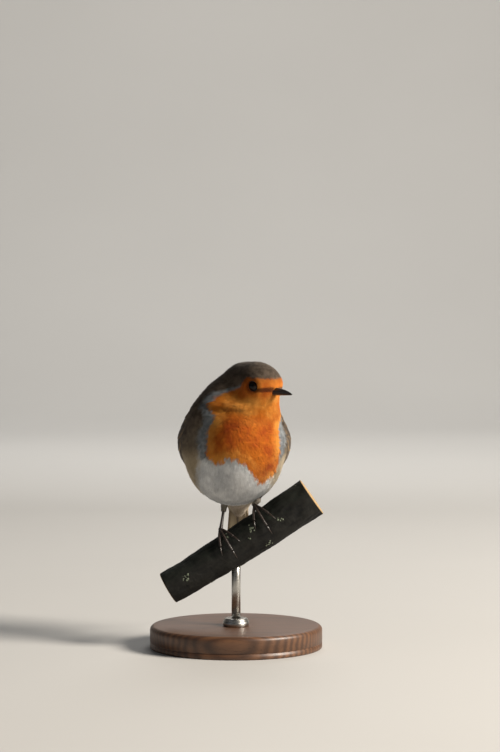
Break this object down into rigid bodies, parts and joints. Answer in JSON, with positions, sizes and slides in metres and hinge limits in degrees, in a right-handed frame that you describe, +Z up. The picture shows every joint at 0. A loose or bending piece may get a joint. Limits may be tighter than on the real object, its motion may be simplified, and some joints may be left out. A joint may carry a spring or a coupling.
{
  "type": "european robin on a perch",
  "caption": "European robin at life size, still, its head turned to its left, gripping a cut length of sloping branch that a rod holds over a round base.",
  "frame": {"origin": "centre of the stand's underside", "axes": "+Z up, the bird's breast faces -Y, +X towards the bird's left, the way its head is turned and the branch climbs"},
  "size_m": [0.0923, 0.1022, 0.1533],
  "materials": {
    "brown_plumage": "soft overlapping contour feathers",
    "orange_plumage": "soft overlapping contour feathers",
    "bill_horn": "smooth dark horn",
    "eye_surface": "wet dark eye",
    "wing_plumage": "closed flight feathers and coverts",
    "tail_plumage": "closed tail feathers",
    "thigh_plumage": "loose downy feathers",
    "leg_scales": "fine dark scales",
    "claw_horn": "smooth dark horn",
    "bark": "rough damp bark with lichen",
    "stand_wood": "stained and waxed",
    "stand_metal": "satin"
  },
  "bodies": {
    "root": {"trunk": "brown_plumage", "head": "brown_plumage", "neck": "orange_plumage", "bill_upper": "bill_horn", "bill_lower": "bill_horn", "eye_left": "eye_surface", "eye_right": "eye_surface", "wing_left": "wing_plumage", "wing_left_primaries": "wing_plumage", "wing_right": "wing_plumage", "wing_right_primaries": "wing_plumage", "tail": "tail_plumage", "thigh_left": "thigh_plumage", "tarsus_left": "leg_scales", "foot_left": "leg_scales", "claw_left_inner": "claw_horn", "claw_left_middle": "claw_horn", "claw_left_outer": "claw_horn", "claw_left_hind": "claw_horn", "thigh_right": "thigh_plumage", "tarsus_right": "leg_scales", "foot_right": "leg_scales", "claw_right_inner": "claw_horn", "claw_right_middle": "claw_horn", "claw_right_outer": "claw_horn", "claw_right_hind": "claw_horn", "perch": "bark", "stand_base": "stand_wood", "stand_collar": "stand_metal", "stand_rod": "stand_metal"}
  },
  "joints": []
}
